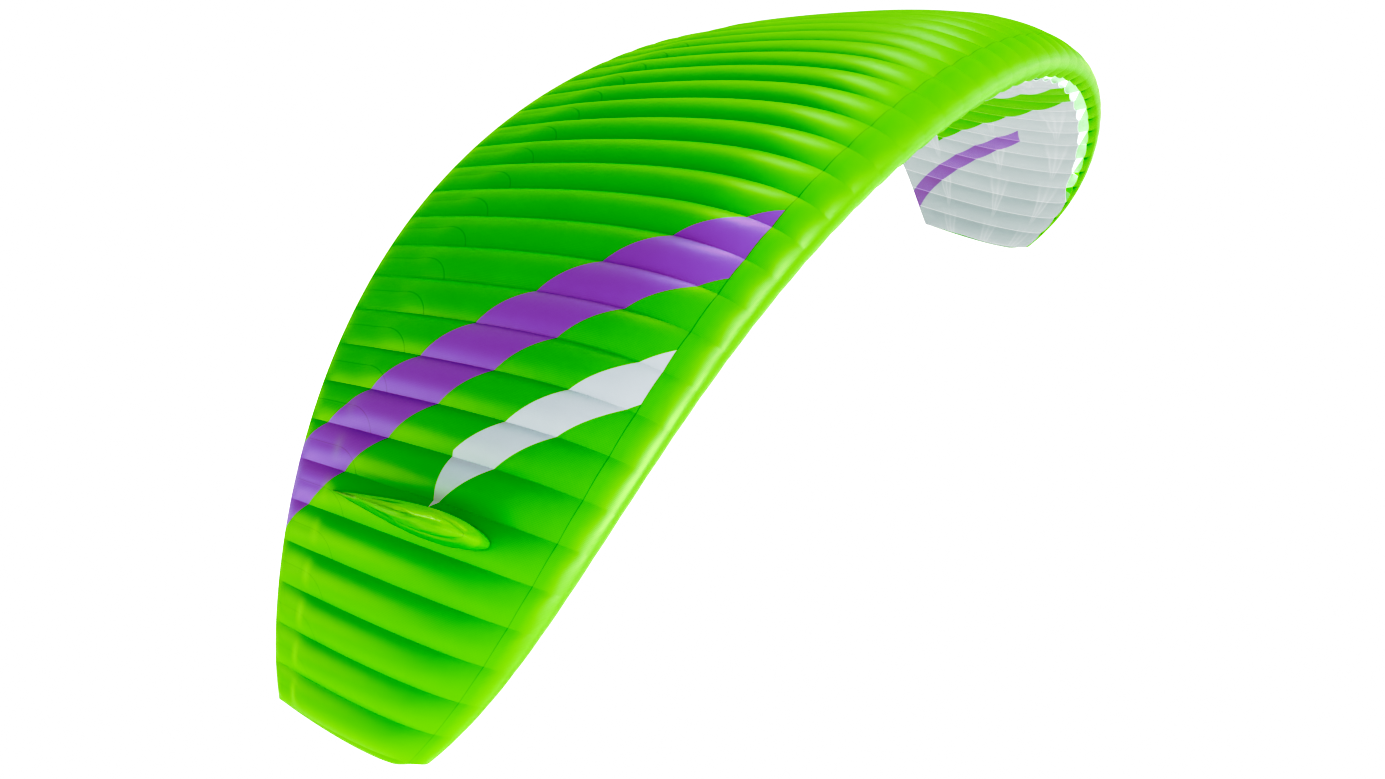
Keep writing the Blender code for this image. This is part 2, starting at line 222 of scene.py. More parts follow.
def arc_table(steps=800):
    """Span fractions, and X and Z of the arch there, added up from short straight steps."""
    u = np.linspace(-1.0, 1.0, steps + 1)
    step = HALF_SPAN * (u[1] - u[0])

    def added_up(rate):
        run = np.concatenate([[0.0], np.cumsum((rate[1:] + rate[:-1]) / 2 * step)])
        return run - run[steps // 2]

    return u, added_up(np.cos(tilt(u))), added_up(-np.sin(tilt(u)))


ARC_U, ARC_X, ARC_Z = arc_table()
EVEN_FRACTIONS = -1 + 2 * np.arange(CELLS + 1) / CELLS
RIB_FRACTIONS = EVEN_FRACTIONS * (
    1 + sum(factor * (1 - EVEN_FRACTIONS**power) for factor, power in RIB_CROWDING)
)
RIB_GAP = HALF_SPAN * np.diff(RIB_FRACTIONS)


def span_fraction(station):
    return np.interp(station, np.arange(CELLS + 1), RIB_FRACTIONS)


def cell_part(station):
    """The cell a station is in, and where it is across that cell, from 0 to 1."""
    low = np.minimum(np.floor(station), CELLS - 1).astype(int)
    return low, station - low


def chord(u):
    return ROOT_CHORD * np.sqrt(1 - (CHORD_TAPER * u) ** 2)


def nose_place(u):
    return HALF_SPAN * terms(SWEEP, np.abs(u))


def section_half(wrap, thickness):
    x = wrap * wrap
    root, first, second, third, fourth = SECTION_TERMS
    return 5 * thickness * (root * wrap + first * x + second * x**2 + third * x**3 + fourth * x**4)


def section(wrap):
    """Place and height of the section, both over the chord."""
    x = np.minimum(wrap * wrap, 1.0)
    half = section_half(np.sqrt(x), THICKNESS)
    front = CAMBER / CAMBER_PLACE**2 * (2 * CAMBER_PLACE * x - x**2)
    rear = CAMBER / (1 - CAMBER_PLACE) ** 2 * (1 - 2 * CAMBER_PLACE + 2 * CAMBER_PLACE * x - x**2)
    return x, np.where(x < CAMBER_PLACE, front, rear) + np.copysign(half, wrap)


def section_normal(wrap, step=0.01):
    x1, h1 = section(np.maximum(wrap - step, -1.0))
    x2, h2 = section(np.minimum(wrap + step, 1.0))
    length = np.hypot(x2 - x1, h2 - h1)
    return -(h2 - h1) / length, (x2 - x1) / length


def up_at(u):
    return np.stack([np.sin(tilt(u)), np.zeros_like(u), np.cos(tilt(u))], axis=-1)


def flat_place(u, along, height):
    base = np.stack([np.interp(u, ARC_U, ARC_X), along, np.interp(u, ARC_U, ARC_Z)], axis=-1)
    return base + up_at(u) * np.asarray(height)[..., None]


def wing_point(station, wrap, puff=0.0):
    """Points of the skins' outer face, puff metres outside the section between the ribs."""
    station, wrap, puff = np.broadcast_arrays(
        np.asarray(station, float), np.asarray(wrap, float), np.asarray(puff, float)
    )
    u = span_fraction(station)
    size = chord(u)
    place, height = section(wrap)
    out_along, out_up = section_normal(wrap)
    along = nose_place(u) + size * place + puff * out_along
    lift = size * (height + NOSE_RAISE * (1 - u**2) * (1 - place))
    lift = lift + np.copysign(TAIL_HALF * place, wrap) + puff * out_up
    return flat_place(u, along, lift) - ORIGIN


def smooth_step(value):
    value = np.clip(value, 0.0, 1.0)
    return value * value * (3 - 2 * value)


def arched(part):
    """0 at both ends of a cell and 1 in its middle."""
    return 4 * part * (1 - part)


def puff_at(station, wrap):
    """How far the skin stands out from the straight line between two ribs."""
    station, wrap = np.broadcast_arrays(np.asarray(station, float), np.asarray(wrap, float))
    low, part = cell_part(station)
    width = RIB_GAP[low]
    place = wrap * wrap
    whole = arched(part) * width
    below = whole * PUFF_UNDER * (1 - place**UNDER_FADE_POWER)
    halves = arched((2 * part) % 1.0) * width / 2
    split = smooth_step((place - SPLIT_START) / (SPLIT_FULL - SPLIT_START))
    fade = 1 - np.clip((place - TAIL_FADE) / (1 - TAIL_FADE), 0.0, 1.0) ** 2
    grown = np.where(wrap < 0, place / NOSE_LIP, place / PUFF_GROWN)
    most = np.where(wrap < 0, PUFF_UNDER, PUFF_TOP)
    swell = np.where(wrap < 0, SWELL_NOSE, SWELL_TOP)
    height = PUFF_NOSE + (most - PUFF_NOSE) * np.minimum(grown, 1.0) ** swell
    above = (whole * height * (1 - split / 2) + halves * PUFF_TAIL * split) * fade
    return np.where((wrap < 0) & (place > NOSE_LIP), below, above)


def on_skin(station, wrap, lift=0.0):
    return wing_point(station, wrap, puff_at(station, wrap) + lift)


ORIGIN = np.zeros(3)
ORIGIN = on_skin(CELLS / 2, -math.sqrt(ORIGIN_PLACE))


# ---------------------------------------------------------------- mesh helpers
def show(name, data):
    """Puts a mesh, a light or a camera in the scene as an object."""
    shown = bpy.data.objects.new(name, data)
    bpy.context.scene.collection.objects.link(shown)
    return shown


def new_piece(name, points, faces, material, uvs=None, smooth=True):
    """A mesh that rides on the wing. uvs maps a layer's name to one pair for each point."""
    mesh = bpy.data.meshes.new(name)
    corners_of_faces = [[int(corner) for corner in face] for face in faces]
    mesh.from_pydata(np.asarray(points).tolist(), [], corners_of_faces)
    mesh.update()
    corners = np.empty(len(mesh.loops), np.int32)
    mesh.loops.foreach_get("vertex_index", corners)
    for layer, pairs in (uvs or {}).items():
        mesh.uv_layers.new(name=layer).data.foreach_set("uv", np.asarray(pairs)[corners].ravel())
    mesh.polygons.foreach_set("use_smooth", np.full(len(mesh.polygons), smooth))
    mesh.materials.append(material)
    piece = show(name, mesh)
    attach(piece, "root")
    return piece


def grid_faces(rows, columns, flip=False):
    index = np.arange(rows * columns).reshape(rows, columns)
    quads = np.stack([index[:-1, :-1], index[:-1, 1:], index[1:, 1:], index[1:, :-1]], axis=-1)
    quads = quads.reshape(-1, 4)
    return quads[:, ::-1] if flip else quads


def mark_sharp(piece, chosen):
    """Edges whose two points are both chosen keep a hard crease in smooth shading."""
    mesh = piece.data
    ends = np.empty(len(mesh.edges) * 2, np.int32)
    mesh.edges.foreach_get("vertices", ends)
    sharp = chosen[ends.reshape(-1, 2)].all(axis=1)
    layer = mesh.attributes.get("sharp_edge") or mesh.attributes.new("sharp_edge", "BOOLEAN", "EDGE")
    layer.data.foreach_set("value", sharp)


def skin(name, steps, wraps_at, material, lift=0.0):
    """A skin over the whole span. wraps_at gives each station its row of wraps."""
    station = np.arange(CELLS * steps + 1) / steps
    wraps = wraps_at(station[:, None])
    stations = np.broadcast_to(station[:, None], wraps.shape)
    points = on_skin(stations, wraps, lift)
    u = span_fraction(stations)
    along = np.linalg.norm(np.diff(points, axis=1), axis=2)
    run = np.concatenate([np.zeros((len(station), 1)), np.cumsum(along, axis=1)], axis=1)
    run = run + nose_place(u)
    cloth = np.stack([HALF_SPAN * u, run], axis=-1)
    panel = np.stack([stations, wraps * np.abs(wraps)], axis=-1)
    layers = {"cloth": cloth.reshape(-1, 2), "panel": panel.reshape(-1, 2)}
    piece = new_piece(name, points.reshape(-1, 3), grid_faces(*wraps.shape), material, layers)
    mark_sharp(piece, np.isclose(stations, np.round(stations)).ravel())
    return piece


def spaced(stops, counts):
    """Values that run through the stops, with a count of steps between each two."""
    parts = [np.linspace(a, b, n, endpoint=False) for a, b, n in zip(stops, stops[1:], counts)]
    return np.concatenate([*parts, [stops[-1]]])


# ---------------------------------------------------------------- skins
def top_wraps(station):
    places = spaced(TOP_STOPS, TOP_COUNTS)
    return np.broadcast_to(np.sqrt(places), (len(station), len(places)))


def open_share(station):
    """1 where a cell has an intake, 0 in the closed cells of the tips, and between in the next."""
    from_tip = np.minimum(station, CELLS - station)
    return np.clip(from_tip - CLOSED_CELLS, 0.0, 1.0)


def scallop(station, depth):
    return depth * arched(cell_part(station)[1]) * open_share(station) / chord(span_fraction(station))


def nose_end(station):
    lip = NOSE_LIP + (LIP_SHOWN - NOSE_LIP) * open_share(station)
    return lip - scallop(station, NOSE_SCALLOP)


def nose_wraps(station):
    start = math.sqrt(NOSE_SEAM)
    end = -np.sqrt(nose_end(station))
    return start + (end - start) * np.linspace(0.0, 1.0, NOSE_ROWS)[None, :]


def under_start(station):
    lip = NOSE_LIP + (UNDER_LIP - NOSE_LIP) * open_share(station)
    return lip + scallop(station, UNDER_SCALLOP)


def under_wraps(station):
    start = under_start(station)
    return -np.sqrt(start + (1 - start) * spaced(UNDER_STOPS, UNDER_COUNTS)[None, :])


def inner_wraps(station):
    """The inner face of the cloth round the nose, from the upper lip up and back."""
    start = -np.sqrt(nose_end(station))
    return start + (math.sqrt(INNER_END) - start) * np.linspace(0.0, 1.0, INNER_ROWS)[None, :]


# ---------------------------------------------------------------- node helpers
class Nodes:
    """Builds a material's nodes. A value is a socket or a number, a colour a socket or a triple."""

    def __init__(self, name):
        self.material = bpy.data.materials.new(name)
        self.material.use_nodes = True
        self.tree = self.material.node_tree
        self.shader = self.tree.nodes["Principled BSDF"]

    def put(self, kind, **settings):
        node = self.tree.nodes.new(kind)
        for key, value in settings.items():
            setattr(node, key, value)
        return node

    def wire(self, value, socket):
        if isinstance(value, bpy.types.NodeSocket):
            self.tree.links.new(value, socket)
        else:
            socket.default_value = value

    def math(self, operation, first, second=0.0, clamp=False):
        node = self.put("ShaderNodeMath", operation=operation, use_clamp=clamp)
        self.wire(first, node.inputs[0])
        self.wire(second, node.inputs[1])
        return node.outputs[0]

    def plus(self, first, second):
        return self.math("ADD", first, second)

    def minus(self, first, second):
        return self.math("SUBTRACT", first, second)

    def most(self, first, second):
        return self.math("MAXIMUM", first, second)

    def times(self, *values):
        result = values[0]
        for value in values[1:]:
            result = self.math("MULTIPLY", result, value)
        return result

    def distance(self, first, second):
        return self.math("ABSOLUTE", self.minus(first, second))

    def over(self, value, edge, soft=0.002):
        """0 up to the edge, rising to 1 over soft."""
        return self.math("DIVIDE", self.minus(value, edge), soft, clamp=True)

    def under(self, value, edge, soft=0.002):
        """0 from the edge on, rising to 1 over soft before it."""
        return self.math("DIVIDE", self.minus(edge, value), soft, clamp=True)

    def near(self, value, centre, half, soft):
        """1 within half of the centre, falling to 0 over soft."""
        return self.under(self.distance(value, centre), half + soft, soft)

    def mix(self, share, first, second):
        node = self.put("ShaderNodeMix", data_type="RGBA")
        self.wire(share, node.inputs["Factor"])
        sockets = [socket for socket in node.inputs if socket.type == "RGBA"]
        for colour, socket in zip((first, second), sockets):
            self.wire(colour if isinstance(colour, bpy.types.NodeSocket) else (*colour, 1.0), socket)
        return [socket for socket in node.outputs if socket.type == "RGBA"][0]

    def split(self, vector):
        node = self.put("ShaderNodeSeparateXYZ")
        self.tree.links.new(vector, node.inputs[0])
        return node.outputs

    def layer(self, name):
        """The two numbers of a mesh's layer, and the layer itself."""
        pair = self.put("ShaderNodeUVMap", uv_map=name).outputs["UV"]
        first, second, _ = self.split(pair)
        return first, second, pair

    def noise(self, vector, scale, detail=2.0):
        node = self.put("ShaderNodeTexNoise")
        self.tree.links.new(vector, node.inputs["Vector"])
        node.inputs["Scale"].default_value = scale
        node.inputs["Detail"].default_value = detail
        return node.outputs["Fac"]

    def bump(self, height, distance, strength, normal=None):
        node = self.put("ShaderNodeBump")
        node.inputs["Strength"].default_value = strength
        node.inputs["Distance"].default_value = distance
        self.tree.links.new(height, node.inputs["Height"])
        if normal:
            self.tree.links.new(normal, node.inputs["Normal"])
        return node.outputs["Normal"]

    def link(self, **inputs):
        """Links sockets to the shader's inputs. An underscore stands for a space in their names."""
        for name, value in inputs.items():
            self.tree.links.new(value, self.shader.inputs[name.replace("_", " ")])

    def set(self, **inputs):
        for name, value in inputs.items():
            self.shader.inputs[name.replace("_", " ")].default_value = value


def finish_cloth(
    nodes, colour, woven, seams, lines, glow=GLOW, line_tint=GREEN_SEAM, line_share=LINE_SHARE,
    coat=0.0, sheen=0.0, gloss_level=1.0,
):
    """Adds the ripstop grid, unevenness, raised seams and drawn lines, and ends the material.

    woven holds the distances along both ways of the threads, and the vector that they come from.
    """
    *ways, vector = woven
    offs = [nodes.math("PINGPONG", way, RIPSTOP / 2) for way in ways]
    threads = nodes.most(*(nodes.under(off, THREAD_EDGE, THREAD_SOFT) for off in offs))
    uneven = nodes.noise(vector, **UNEVEN_NOISE)
    lighter = nodes.mix(nodes.times(threads, THREAD_SHARE), colour, THREADS)
    shade = nodes.mix(nodes.times(uneven, UNEVEN_SHARE), lighter, BLACK)
    stitched = nodes.mix(nodes.times(lines, line_share), shade, line_tint)
    gloss = nodes.plus(nodes.times(uneven, UNEVEN_GLOSS), ROUGHNESS - UNEVEN_GLOSS / 2)
    normal = nodes.bump(nodes.noise(vector, **WRINKLE_NOISE), **WRINKLE_BUMP)
    normal = nodes.bump(threads, **THREAD_BUMP, normal=normal)
    normal = nodes.bump(seams, **SEAM_BUMP, normal=normal)
    nodes.link(Base_Color=stitched, Emission_Color=stitched, Roughness=gloss, Normal=normal)
    nodes.set(
        Emission_Strength=glow,
        Specular_IOR_Level=gloss_level,
        Coat_Weight=coat,
        Coat_Roughness=COAT_ROUGHNESS,
        Coat_IOR=COAT_IOR,
        Sheen_Weight=sheen,
        Sheen_Roughness=SHEEN_ROUGHNESS,
        Sheen_Tint=(*SHEEN_TINT, 1.0),
    )
    return nodes.material


# ---------------------------------------------------------------- cloths
# In this section a pair of numbers is an edge, and how softly what is drawn begins there.
RIB_LINE = 0.014  # softness of the seam along a rib, in cells
RIB_LINE_EDGE = 1.6  # its edge, over its softness
NOSE_LINE_HALF = 0.0004
NOSE_LINE_SOFT = 0.0008
SMALL_LINE = {"half": 0.003, "soft": 0.008}
SMALL_LINE_SHARE = 0.5
CURVED_LINE = {"half": 0.006, "soft": 0.018}
CURVED_LINE_SHARE = 0.6


def from_rib(nodes, station):
    """0 at a rib and 0.5 in the middle of a cell."""
    return nodes.math("PINGPONG", station, 0.5)


def rib_seams(nodes, station, soft=RIB_LINE):
    """The sewn line along each rib, where the station is a whole number."""
    return nodes.under(from_rib(nodes, station), soft * RIB_LINE_EDGE, soft)


def nose_seam(nodes, place):
    return nodes.near(place, NOSE_SEAM, NOSE_LINE_HALF, NOSE_LINE_SOFT)


def outboard(nodes, station):
    """How many cells away from the middle of the wing."""
    return nodes.distance(station, CELLS / 2)


def banded(nodes, station, place, ground, bands):
    """The ground colour with straight slanted bands, alike on both halves of the wing."""
    along = nodes.minus(outboard(nodes, station), nodes.times(place, BAND_SLOPE))
    colour = ground
    for centre, half, first, last, paint in bands:
        share = nodes.times(
            nodes.near(along, centre, half, BAND_EDGE),
            nodes.over(place, first),
            nodes.under(place, last),
        )
        colour = nodes.mix(share, colour, paint)
    return colour


def small_rib_seams(nodes, station, place):
    """The fine seams over the small ribs at the tail, which bend outboard to the next rib."""
    across = nodes.minus(nodes.math("FRACT", nodes.plus(outboard(nodes, station), 0.5)), 0.5)
    behind = nodes.over(place, SMALL_RIB)
    straight = nodes.times(nodes.near(across, 0.0, **SMALL_LINE), behind, SMALL_LINE_SHARE)
    forward = nodes.math("DIVIDE", nodes.minus(SMALL_RIB, place), SMALL_RIB_BEND)
    aside = nodes.minus(1.0, nodes.times(across, 2.0))
    squares = nodes.plus(nodes.times(forward, forward), nodes.times(aside, aside))
    ring = nodes.near(nodes.math("SQRT", squares), 1.0, **CURVED_LINE)
    ahead = nodes.over(forward, 0.0)
    curved = nodes.times(ring, nodes.over(across, 0.0), ahead, CURVED_LINE_SHARE)
    return nodes.most(straight, curved)


# a painted highlight where the small ribs pull the cloth, paler toward the tips
HIGHLIGHT_ACROSS = {"half": 0.05, "soft": 0.35}
HIGHLIGHT_ALONG = {"half": 0.002, "soft": 0.026}
HIGHLIGHT_OUTBOARD = (14.0, 6.0)
HIGHLIGHT_SHARE = 0.22


def top_material():
    """Green with the bands, and a painted highlight toward the tips where the small ribs pull the cloth.
    """
    nodes = Nodes("upper cloth")
    woven = nodes.layer("cloth")
    station, place, _ = nodes.layer("panel")
    colour = banded(nodes, station, place, GREEN, BANDS_TOP)
    lines = nodes.most(nose_seam(nodes, place), small_rib_seams(nodes, station, place))
    # painted highlight at the front of each small rib, toward the tips
    painted_highlight = nodes.times(
        nodes.near(from_rib(nodes, station), 0.5, **HIGHLIGHT_ACROSS),
        nodes.near(place, SMALL_RIB, **HIGHLIGHT_ALONG),
        nodes.over(outboard(nodes, station), *HIGHLIGHT_OUTBOARD),
    )
    colour = nodes.mix(nodes.times(painted_highlight, HIGHLIGHT_SHARE), colour, GREEN_PAINTED_HIGHLIGHT)
    return finish_cloth(
        nodes, colour, woven, lines, lines,
        coat=TOP_COAT, sheen=SKIN_SHEEN, gloss_level=SKIN_GLOSS,
    )


# the lines and the painted gather shade are in cells, and the rest are places, which are negative
# underneath
NOSE_LINE = 0.008
GATHER_LINE = 0.07
GATHERED = (-0.012, 0.02)
GATHER_SHADE_SHARE = 0.6
NOSE_BELOW = (0.006, 0.016)
NOSE_FRONT = (0.055, 0.045)
COATED_INBOARD = (26.0, 9.0)  # cells from the middle


def nose_material():
    """Green with painted shade where it turns under and in the creases of the gathered lip, and more
    gloss in front.
    """
    nodes = Nodes("nose cloth")
    woven = nodes.layer("cloth")
    station, place, _ = nodes.layer("panel")
    # painted shade in the creases at the lip, and where the nose turns under
    gather_shade = nodes.times(rib_seams(nodes, station, GATHER_LINE), nodes.under(place, *GATHERED))
    below = nodes.under(place, *NOSE_BELOW)
    shaded_under = nodes.mix(below, GREEN, GREEN_PAINTED_SHADE)
    colour = nodes.mix(nodes.times(gather_shade, GATHER_SHADE_SHARE), shaded_under, GREEN_PAINTED_GATHER_SHADE)
    seams = rib_seams(nodes, station, NOSE_LINE)
    material = finish_cloth(
        nodes, colour, woven, seams, nose_seam(nodes, place),
        sheen=SKIN_SHEEN, gloss_level=SKIN_GLOSS,
    )
    in_front = nodes.times(nodes.under(place, *NOSE_FRONT), NOSE_COAT)
    shown = nodes.minus(nodes.plus(in_front, TOP_COAT), nodes.times(below, NOSE_COAT_BELOW))
    inboard = nodes.under(outboard(nodes, station), *COATED_INBOARD)
    nodes.link(Coat_Weight=nodes.times(shown, inboard))
    return material


FAN_HALF = 0.006  # half a fan's width in places at its rib, and what it gains to its end
FAN_SPREAD = 0.055
OUTER_RAY = {"centre": 0.8, "half": 0.05, "soft": 0.22}
INNER_RAY = {"centre": 0.0, "half": 0.05, "soft": 0.30}
FAN_WITHIN = (1.0, 0.3)
FAN_WITHIN_SHARE = 0.35
FAN_FIRST = (0.0, 0.1)
FAN_LAST = (1.0, 0.45)
FAN_SHARE = 0.07


def strap_fans(nodes, station, place):
    """Faint rays that spread inboard from every third rib, where the straps inside pull."""
    turns = nodes.math("DIVIDE", outboard(nodes, station), FAN_RIBS)
    inboard = nodes.minus(1.0, nodes.math("FRACT", turns))
    half = nodes.plus(nodes.times(inboard, FAN_SPREAD), FAN_HALF)
    fans = 0.0
    for row in FAN_ROWS:
        off = nodes.math("DIVIDE", nodes.distance(place, row), half)
        rays = nodes.most(nodes.near(off, **OUTER_RAY), nodes.near(off, **INNER_RAY))
        within = nodes.times(nodes.under(off, *FAN_WITHIN), FAN_WITHIN_SHARE)
        fans = nodes.most(nodes.most(rays, within), fans)
    return nodes.times(fans, nodes.over(inboard, *FAN_FIRST), nodes.under(inboard, *FAN_LAST))


def under_material():
    """White cloth, grey in its own shade, with the bands, the rays and a pale line along each rib."""
    nodes = Nodes("lower cloth")
    woven = nodes.layer("cloth")
    station, signed_place, _ = nodes.layer("panel")
    place = nodes.times(signed_place, -1.0)
    fans = nodes.times(strap_fans(nodes, station, place), FAN_SHARE)
    ground = nodes.mix(fans, GREY, CLEAR_WHITE)
    colour = banded(nodes, station, place, ground, BANDS_UNDER)
    seams = rib_seams(nodes, station)
    return finish_cloth(
        nodes, colour, woven, seams, seams,
        line_tint=CLEAR_WHITE, line_share=UNDER_LINE_SHARE, gloss_level=UNDER_GLOSS,
    )


TIP_SHADE_FADE = (-0.03, 0.07)  # heights from the panel's middle, over which the painted shade on the green fades out upward
TIP_LINE = {"half": 0.002, "soft": 0.002}


def tip_material():
    """Green above and grey below the seam on the tip panel, where the two skins' cloths meet, the green
    darkened toward the seam as painted shade.
    """
    nodes = Nodes("tip cloth")
    woven = nodes.layer("cloth")
    height = woven[1]
    # painted shade on the green, darker toward the seam
    colour = nodes.mix(nodes.over(height, *TIP_SHADE_FADE), GREEN_IN_SHADE, GREEN)
    colour = nodes.mix(nodes.over(height, TIP_SEAM), GREY, colour)
    seam = nodes.near(height, TIP_SEAM, **TIP_LINE)
    return finish_cloth(nodes, colour, woven, seam, seam, TIP_GLOW, gloss_level=TIP_GLOSS)


# the sides are in roots of the place along the fin, and the rest in heights
FIN_SHADE_TURN = (-0.25, 0.55)
LEAF_SIDE = (0.62, 0.08)
LEAF_FOOT = (0.235, 0.02)
LEAF_HEAD = (0.375, 0.02)
LEAF_SHADE = 0.35
FOLD_PITCH = 0.011
FOLD = (0.003, 0.006)
FOLD_SHADE = 0.25
CREASE_LINE = {"half": 0.001, "soft": 0.002}


def fin_material():
    """Painted light on the upper face and painted shade on the outer face, with painted shade in a
    gathered leaf near the tail of the outer cell.
    """
    nodes = Nodes("fin cloth")
    woven = nodes.layer("cloth")
    turn, level, _ = nodes.layer("panel")
    # the upper face painted lighter and the outer face darker, as light and shade
    colour = nodes.mix(nodes.over(turn, *FIN_SHADE_TURN), FIN_PAINTED_LIT, FIN_PAINTED_SHADE)
    leaf = nodes.times(
        nodes.over(nodes.math("ABSOLUTE", turn), *LEAF_SIDE),
        nodes.over(level, *LEAF_FOOT),
        nodes.under(level, *LEAF_HEAD),
    )
    folds = nodes.over(nodes.math("PINGPONG", level, FOLD_PITCH), *FOLD)
    # painted shade in the leaf and its folds
    depth = nodes.times(leaf, nodes.plus(nodes.times(folds, FOLD_SHADE), LEAF_SHADE))
    colour = nodes.mix(depth, colour, FIN_FOLD_SHADE)
    crease = nodes.near(level, FIN_CREASE, **CREASE_LINE)
    return finish_cloth(nodes, colour, woven, folds, crease, FIN_GLOW)


def plain_material(name, colour, glow=GLOW):
    """Cloth with no seams of its own, woven in the object's own coordinates."""
    nodes = Nodes(name)
    vector = nodes.put("ShaderNodeTexCoord").outputs["Object"]
    _, across, high = nodes.split(vector)
    nothing = nodes.times(across, 0.0)
    return finish_cloth(nodes, colour, (across, high, vector), nothing, nothing, glow)


# ---------------------------------------------------------------- inside the intakes
def strap(foot, head, foot_places, head_places):
    """A flat strap from the foot of one rib to the head of its neighbour."""
    rows = []
    steps = DIAGONAL_STEPS
    for low, high in zip(np.linspace(*foot_places, steps), np.linspace(*head_places, steps)):
        bottom = wing_point(foot, -math.sqrt(low), DIAGONAL_LIFT)
        top = wing_point(head, math.sqrt(high), DIAGONAL_LIFT)
        rows.append(bottom + (top - bottom) * np.linspace(0.0, 1.0, steps)[:, None])
    return np.array(rows)


def diagonal_ribs():
    """Straps in a V from the foot of every second rib to the heads of its neighbours."""
    patch = grid_faces(DIAGONAL_STEPS, DIAGONAL_STEPS)
    points = []
    faces = []
    for foot in range(CLOSED_CELLS + 1, CELLS - CLOSED_CELLS, 2):
        for head in (foot - 1, foot + 1):
            for foot_places, head_places in DIAGONALS:
                faces.append(patch + DIAGONAL_STEPS**2 * len(points))
                points.append(strap(foot, head, foot_places, head_places))
    return np.array(points).reshape(-1, 3), np.concatenate(faces)


def unit(vectors):
    return vectors / np.linalg.norm(vectors, axis=-1, keepdims=True)


def lip_hem(end_at):
    """The rolled hem along a row of intake lips, as a thin tube. end_at gives the lips' places."""
    station = np.arange((CELLS - 2 * CLOSED_CELLS) * TOP_STEPS + 1) / TOP_STEPS + CLOSED_CELLS
    path = on_skin(station, -np.sqrt(end_at(station)), -LIP_CORD)
    ahead = unit(np.gradient(path, axis=0))
    beside = unit(np.cross(ahead, up_at(span_fraction(station))))
    out = np.cross(beside, ahead)
    turn = np.linspace(0.0, 2 * math.pi, LIP_CORNERS + 1)[:, None, None]
    ring = np.cos(turn) * beside + np.sin(turn) * out
    return (path + LIP_CORD * ring).transpose(1, 0, 2)


# ---------------------------------------------------------------- tips
def tip_piece(name, station, material):
    """The domed panel that closes a tip between the upper and the lower skin."""
    u = span_fraction(station)
    places = TIP_FIRST + (TIP_LAST - TIP_FIRST) * np.linspace(0.0, 1.0, TIP_ROWS) ** TIP_CROWDING
    side = math.copysign(1.0, station - CELLS / 2)
    lean = abs(float(tilt(u)))
    away = np.array((side * math.cos(lean), 0.0, -math.sin(lean)))
    part = np.linspace(0.0, 1.0, TIP_COLUMNS)
    top = wing_point(station, np.sqrt(places), TIP_LIFT)[:, None]
    low = wing_point(station, -np.sqrt(places), TIP_LIFT)[:, None]
    height = np.linalg.norm(top - low, axis=2)
    grown = smooth_step(places / TIP_DOME_GROWN)
    dome = TIP_DOME * (TIP_DOME_AT_NOSE + (1 - TIP_DOME_AT_NOSE) * grown)
    out = height * dome[:, None] * arched(part)
    points = top + (low - top) * part[:, None] + away * out[..., None]
    across = height * (0.5 - part)
    along = nose_place(u) + chord(u) * places
    cloth = np.stack([np.broadcast_to(along[:, None], across.shape), across], axis=-1)
    faces = grid_faces(TIP_ROWS, TIP_COLUMNS, flip=side > 0)
    layers = {"cloth": cloth.reshape(-1, 2)}
    return new_piece(name, points.reshape(-1, 3), faces, material, layers)


# ---------------------------------------------------------------- fins
def fin_piece(name, station, side, material):
    """A pillow of two stacked cells, with a crease where they are sewn together."""
    u = span_fraction(station)
    up = up_at(u)
    lean = abs(float(tilt(u)))
    across = np.array((side * math.cos(lean), 0.0, -math.sin(lean)))
    across = unit(across - up * (across @ up))
    table = np.array(FIN_LEVELS)
    heights = spaced(FIN_STOPS, FIN_COUNTS)
    wraps = spaced((1.0, 0.0, -1.0), (FIN_SIDE_STEPS, FIN_SIDE_STEPS))[:-1]
    rows = []
    for height in heights:
        front, rear, thickness = (np.interp(height, table[:, 0], table[:, k]) for k in (1, 2, 3))
        pinch = 1 - FIN_PINCH * math.exp(-(((height - FIN_CREASE) / FIN_CREASE_HALF) ** 2))
        length = rear - front
        along = front + length * wraps**2
        half = section_half(np.abs(wraps), thickness) * length * pinch
        foot = on_skin(station, np.sqrt(along / chord(u)))
        rows.append(foot + up * height + across * np.copysign(half, wraps)[:, None])
    count = len(wraps)
    index = np.arange(len(rows) * count).reshape(len(rows), count)
    after = np.roll(index, -1, axis=1)
    quads = np.stack([index[:-1], after[:-1], after[1:], index[1:]], axis=-1).reshape(-1, 4)
    points = np.concatenate(rows)
    crown = points[index[-1]].mean(axis=0) + up * FIN_CROWN
    points = np.vstack([points, crown])
    caps = np.stack([index[-1], after[-1], np.full(count, len(points) - 1)], axis=-1)
    faces = [*quads.tolist(), *caps.tolist()]
    faces = [face[::-1] if side > 0 else face for face in faces]
    level = np.append(np.repeat(heights, count), heights[-1])
    turn = np.append(np.tile(wraps, len(rows)), 0.0)
    cloth = np.stack([points[:, 1], level], axis=-1)
    layers = {"cloth": cloth, "panel": np.stack([turn, level], axis=-1)}
    return new_piece(name, points, faces, material, layers)


# ---------------------------------------------------------------- dress the wing
RIBS = [f"rib_{number:02d}" for number in range(1, CELLS)]


def sections(name):
    return [f"{name}_{side}" for side in ("middle", "right", "left")]


def dress_skins():
    for name, steps, wraps_at, material, solids, slot, flat in (
        (
            "skin_top", TOP_STEPS, top_wraps, top_material(),
            ["upper_skin"], "upper_cloth", TOP_FLAT,
        ),
        (
            "skin_nose", TOP_STEPS, nose_wraps, nose_material(),
            sections("nose_top") + sections("nose_lip"), "nose_cloth", NOSE_FLAT,
        ),
        (
            "skin_under", UNDER_STEPS, under_wraps, under_material(),
            sections("lower_skin"), "under_cloth", UNDER_FLAT,
        ),
    ):
        piece = skin(name, steps, wraps_at, material)
        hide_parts(*solids)


